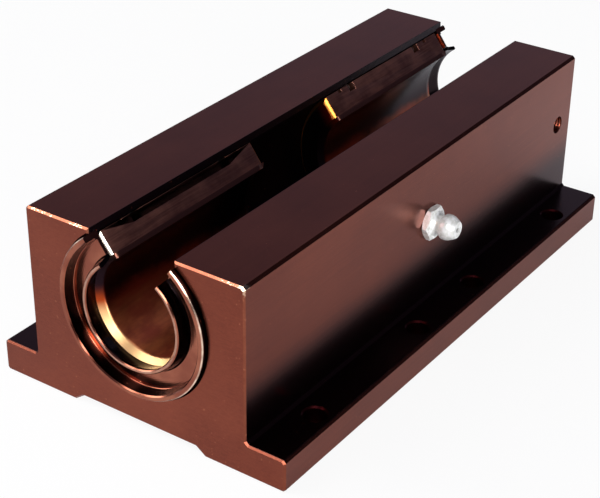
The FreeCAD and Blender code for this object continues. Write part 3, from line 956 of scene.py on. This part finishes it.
@dataclass
class BrokenEdges(Piece):
    """Bearing shell with its sawn edges broken by hand, as a fitter leaves it."""

    node: str = ""
    end_break: float = 1.0
    side_break: float = 0.22
    liner_radius: float = 14.1
    off_plane: float = 0.02
    merge_reach: float = 0.001
    flat_angle: float = 0.4

    def sawn_edges(self, shape: bmesh.types.BMesh, ends: bool) -> list[bmesh.types.BMEdge]:
        """Edges round the two sawn faces.

        A point lies on a sawn face where |x| cos A - (z - C) sin A is nothing, A being half
        the opening and C the height of the shaft.

        Args:
            shape: Mesh to search, in metres.
            ends: True for the edges at the shell's ends, False for all the others.

        Returns:
            The edges where a sawn face meets another face.
        """
        half = np.radians(BLOCK.half_opening)
        end_plane = (BLOCK.half_bearing - HAIR) * MM

        def sawn(face: bmesh.types.BMFace) -> bool:
            """Whether a face is one of the two sawn ones."""
            flat = all(abs(abs(v.co.x) * np.cos(half) - (v.co.z - BLOCK.centre * MM)
                           * np.sin(half)) < self.off_plane * MM for v in face.verts)
            return flat and face.calc_center_median().z > BLOCK.centre * MM

        def at_end(edge: bmesh.types.BMEdge) -> bool:
            """Whether an edge lies in one of the shell's end planes."""
            return all(abs(abs(v.co.y) - BLOCK.half_pitch * MM) > end_plane
                       for v in edge.verts)

        def on_liner(edge: bmesh.types.BMEdge) -> bool:
            """Whether an edge lies where the liner is bonded in."""
            return all(np.hypot(v.co.x, v.co.z - BLOCK.centre * MM) < self.liner_radius * MM
                       for v in edge.verts)

        sides = {face: sawn(face) for face in shape.faces}
        return [edge for edge in shape.edges
                if len(edge.link_faces) == 2 and at_end(edge) == ends and not on_liner(edge)
                and sides[edge.link_faces[0]] != sides[edge.link_faces[1]]]

    def build(self) -> bpy.types.Object:
        """Copy the node, merge its triangles and cut its sawn edges back.

        Returns:
            The shell's object.
        """
        shape = bmesh.new()
        shape.from_mesh(frame["nodes"][self.node].data)
        bmesh.ops.remove_doubles(shape, verts=shape.verts, dist=self.merge_reach * MM)
        bmesh.ops.dissolve_limit(shape, angle_limit=np.radians(self.flat_angle),
                                 verts=shape.verts, edges=shape.edges)
        for ends, width, steps in ((True, self.end_break, 1), (False, self.side_break, 2)):
            bmesh.ops.bevel(shape, geom=self.sawn_edges(shape, ends), offset=width * MM,
                            offset_type="OFFSET", segments=steps, profile=0.5,
                            affect="EDGES", clamp_overlap=True)
        mesh = bpy.data.meshes.new(self.name)
        shape.to_mesh(mesh)
        shape.free()
        return self.show(mesh, 30.0)


@dataclass
class ThreadedMouth(Piece):
    """Thread showing in the mouth of a retention screw's hole, above the screw.

    The hole is given by its radius, the bottom and the top by their distance from X = 0.
    """

    side: int = 1
    along: float = 0.0
    hole: float = 2.445
    depth: float = 0.26
    pitch: float = 0.795
    bottom: float = 27.45
    top: float = 30.62
    clearance: float = 0.02
    sharpness: float = 0.8
    fade_pitches: float = 0.5
    sides: int = 96
    rows: int = 64

    def build(self) -> bpy.types.Object:
        """A sleeve whose inner wall is a helical groove and whose outer wall is plain.

        At height h from the bottom and angle a, the inner radius is the hole's radius less a
        clearance and less the depth times |2 frac(h / pitch - a / 2 pi) - 1| to the power of
        the sharpness, faded to nothing over the last half pitch at the top.

        Returns:
            The mouth's object.
        """
        a = np.linspace(0, 2 * np.pi, self.sides, endpoint=False)[None, :]
        h = np.linspace(0, self.top - self.bottom, self.rows)[:, None]
        share = np.mod(h / self.pitch - a / (2 * np.pi), 1.0)
        fade = np.clip((self.top - self.bottom - h) / (self.pitch * self.fade_pitches), 0, 1)
        groove = self.depth * np.abs(2 * share - 1) ** self.sharpness * fade
        inner = self.hole - self.clearance - groove
        outer = np.full_like(inner, self.hole)
        h = np.broadcast_to(h, inner.shape)
        radius = np.concatenate([inner, outer[::-1]])
        height = np.concatenate([h, h[::-1]])
        a = np.broadcast_to(a, radius.shape)
        points = np.stack([self.side * (self.bottom + height),
                           self.along + radius * np.sin(a),
                           BLOCK.centre + radius * np.cos(a)], axis=-1).reshape(-1, 3)
        faces = outward(points, grid_faces(2 * self.rows, self.sides, True, True))
        return self.put(points, faces, 30.0)


class FinishBook:
    """Keeps one Blender material for each finish."""

    def __init__(self) -> None:
        """Start with no materials."""
        self.made: dict[str, bpy.types.Material] = {}

    def material(self, finish: Finish) -> bpy.types.Material:
        """The material of a finish, made the first time it is asked for."""
        if finish.name not in self.made:
            self.made[finish.name] = finish.material()
        return self.made[finish.name]

    def dress(self, node: str, finish: Finish) -> None:
        """Give every material slot of a carried-over node one finish.

        Args:
            node: Name of the node.
            finish: Its finish.
        """
        shown = frame["nodes"][node]
        material = self.material(finish)
        if not shown.material_slots:
            shown.data.materials.append(material)
        for slot in shown.material_slots:
            slot.material = material
        log.info("node %s: %s", node, finish.name)


FINISHES = FinishBook()


# ---- sub-assemblies ---------------------------------------------------------------------
class Assembly:
    """Base of the sub-assemblies: each dresses its nodes, and some build pieces."""

    def build(self) -> list[bpy.types.Object]:
        """Build nothing, where the carried-over solids are enough."""
        return []

    def dress(self) -> None:
        """Dress the sub-assembly's nodes."""
        raise NotImplementedError


@dataclass
class Housing(Assembly):
    """Extruded housing and the thread mouths in its sides."""

    film: Finish = Anodised("brown_hard_anodised")
    screw_along: float = 68.65

    def build(self) -> list[bpy.types.Object]:
        """Build the two thread mouths: the rear one on +X, the front one on -X."""
        return [ThreadedMouth(name, "block", "housing", self.film, side=side,
                              along=side * self.screw_along).build()
                for name, side in (("rear_thread_mouth", 1), ("front_thread_mouth", -1))]

    def dress(self) -> None:
        """Dress the housing."""
        FINISHES.dress("housing", self.film)


@dataclass
class Bearing(Assembly):
    """One open bearing: shell, liner and two O-rings. Its direction is its side along Y."""

    end: str
    direction: int
    ring_offset: float = 16.4
    metal: Finish = ShellMetal("bronze_brown_shell")
    lining: Finish = LinerSurface("golden_liner")
    rubber: Finish = Rubber("nitrile_cord")

    def build(self) -> list[bpy.types.Object]:
        """Build the shell and both O-rings; they stand for their carried-over solids."""
        node = f"{self.end}_bearing_shell"
        shell = BrokenEdges(f"{self.end}_fitted_shell", f"{self.end}_bearing", "bearing_shell",
                            self.metal, node=node).build()
        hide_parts(node)
        made = [shell]
        for name, offset in (("outer", self.ring_offset), ("inner", -self.ring_offset)):
            along = self.direction * (BLOCK.half_pitch + offset)
            cord = OpenCord(f"{self.end}_{name}_round_cord", "block", "o_ring", self.rubber,
                            along=along).build()
            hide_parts(f"{self.end}_{name}_o_ring")
            made.append(cord)
        return made

    def dress(self) -> None:
        """Dress the shell and the liner."""
        FINISHES.dress(f"{self.end}_bearing_shell", self.metal)
        FINISHES.dress(f"{self.end}_bearing_liner", self.lining)


@dataclass
class Seal(Assembly):
    """One open seal: case and lip."""

    end: str
    case: Finish = SealGloss("seal_case_gloss", SealPart.CASE)
    lip: Finish = SealGloss("seal_lip_gloss", SealPart.LIP)

    def dress(self) -> None:
        """Dress the case and the lip."""
        FINISHES.dress(f"{self.end}_seal_case", self.case)
        FINISHES.dress(f"{self.end}_seal_lip", self.lip)


@dataclass
class GreaseFitting(Assembly):
    """Grease fitting with its check ball and spring."""

    plating: Finish = Plated("bright_zinc")
    hard: Finish = Steel("ball_steel")
    wire: Finish = Steel("spring_wire", base_roughness=0.26)

    def build(self) -> list[bpy.types.Object]:
        """Build the spring in place of the carried-over solid."""
        coil = CoilSpring("coiled_check_spring", "block", "spring", self.wire).build()
        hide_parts("grease_check_spring")
        return [coil]

    def dress(self) -> None:
        """Dress the fitting, the ball and the spring."""
        FINISHES.dress("grease_fitting", self.plating)
        FINISHES.dress("grease_check_ball", self.hard)
        FINISHES.dress("grease_check_spring", self.wire)


@dataclass
class RetentionScrew(Assembly):
    """Socket set screw that keeps a bearing from turning."""

    end: str
    oxide: Finish = Steel("black_oxide", light=shade(58, 52, 54), dark=shade(30, 26, 28),
                          base_roughness=0.34)

    def dress(self) -> None:
        """Dress the screw."""
        FINISHES.dress(f"{self.end}_retention_screw", self.oxide)


# ---- studio -----------------------------------------------------------------------------
@dataclass(frozen=True)
class Softbox:
    """A square white area light, by direction from the block and distance in metres."""

    name: str
    towards: Triple
    distance: float
    size: float
    power: float
    aim_height: float = 0.03

    def build(self) -> None:
        """Hang the light at its distance along its direction, facing the block."""
        lamp = bpy.data.lights.new(self.name, "AREA")
        lamp.shape = "SQUARE"
        lamp.size = self.size
        lamp.energy = self.power
        hung = bpy.data.objects.new(self.name, lamp)
        aim = Vector(self.towards).normalized()
        hung.location = Vector((0, 0, self.aim_height)) + aim * self.distance
        hung.rotation_euler = aim.to_track_quat("Z", "Y").to_euler()
        bpy.context.scene.collection.objects.link(hung)


@dataclass(frozen=True)
class Studio:
    """Floor, world, lights and camera, in metres."""

    paper: Finish = Floor("white_sweep")
    sky: Tint = (0.20, 0.20, 0.27)
    dim_sky: Tint = (0.035, 0.035, 0.06)
    floor_reach: float = 2.5
    floor_drop: float = 0.00002
    lights: tuple[Softbox, ...] = (
        Softbox("overhead", (-0.1, -0.05, 1.0), 1.6, 1.4, 3.0),
        Softbox("left", (-0.85, -0.25, 0.47), 1.6, 0.9, 12.0),
        Softbox("front_left", (-0.49, -0.50, 0.72), 1.0, 0.45, 3.0),
        Softbox("by_camera", (0.51, -0.70, 0.50), 1.1, 0.42, 6.0),
        Softbox("low_right", (0.93, -0.35, 0.12), 1.0, 0.25, 5.0),
    )
    eye: Triple = (0.195379, -0.295334, 0.214336)
    forward: Triple = (-0.492436, 0.71498, -0.496296)
    right: Triple = (0.819922, 0.572369, 0.011028)
    lens: float = 93.8
    sensor: float = 36.0

    def build_floor(self) -> None:
        """A flat sheet of 2 by 2 quarters, a hair below the block's foot."""
        line = np.linspace(-self.floor_reach, self.floor_reach, 3)
        x, y = np.meshgrid(line, line)
        points = np.stack([x.ravel(), y.ravel(), np.full(x.size, -self.floor_drop)], axis=1)
        mesh = bpy.data.meshes.new("floor")
        mesh.from_pydata(points.tolist(), [], grid_faces(3, 3, False, False).tolist())
        mesh.materials.append(FINISHES.material(self.paper))
        sheet = bpy.data.objects.new("floor", mesh)
        bpy.context.scene.collection.objects.link(sheet)

    def build_world(self) -> None:
        """Dim surroundings, lighter on the left than on the right."""
        world = bpy.data.worlds.new("surroundings")
        world.use_nodes = True
        book = NodeBook(world.node_tree)
        sideways, _, _ = book.node("ShaderNodeTexCoord").parts()
        colour = sideways.rise(0.45, -0.35).between(self.dim_sky, self.sky)
        # Straight lines of sight past the floor's edge end in white.
        colour = book.node("ShaderNodeLightPath").between(colour, (1.0, 1.0, 1.0))
        glow = book.node("ShaderNodeBackground", Color=colour, Strength=1.0)
        output = world.node_tree.nodes.new("ShaderNodeOutputWorld")
        book.plug(output, "Surface", glow)
        bpy.context.scene.world = world

    def build_camera(self) -> None:
        """Camera given by its place, its forward direction and roughly its right one."""
        forward = Vector(self.forward).normalized()
        right = Vector(self.right).normalized()
        up = right.cross(forward).normalized()
        right = forward.cross(up).normalized()
        camera = bpy.data.cameras.new("camera")
        camera.lens = self.lens
        camera.sensor_width = self.sensor
        camera.sensor_fit = "HORIZONTAL"
        camera.clip_start = 0.01
        stand = bpy.data.objects.new("camera", camera)
        turn = Matrix((right, up, -forward)).transposed().to_4x4()
        stand.matrix_world = Matrix.Translation(Vector(self.eye)) @ turn
        bpy.context.scene.collection.objects.link(stand)
        bpy.context.scene.camera = stand

    def build(self) -> None:
        """Set up everything round the block."""
        bpy.context.scene.view_settings.view_transform = "Standard"
        self.build_camera()
        self.build_floor()
        self.build_world()
        for light in self.lights:
            light.build()


def main() -> None:
    """Build and dress the block, then the studio round it."""
    logging.basicConfig(level=logging.INFO, format="%(name)s: %(message)s")
    bearings = [Bearing("front", -1), Bearing("rear", 1)]
    assemblies: list[Assembly] = [
        Housing(), *bearings, Seal("front"), Seal("rear"), GreaseFitting(),
        RetentionScrew("front"), RetentionScrew("rear"),
    ]
    for assembly in assemblies:
        assembly.dress()
        for made in assembly.build():
            log.info("piece %s: %d faces", made.name, len(made.data.polygons))
    Studio().build()


if __name__ == "__main__":
    main()
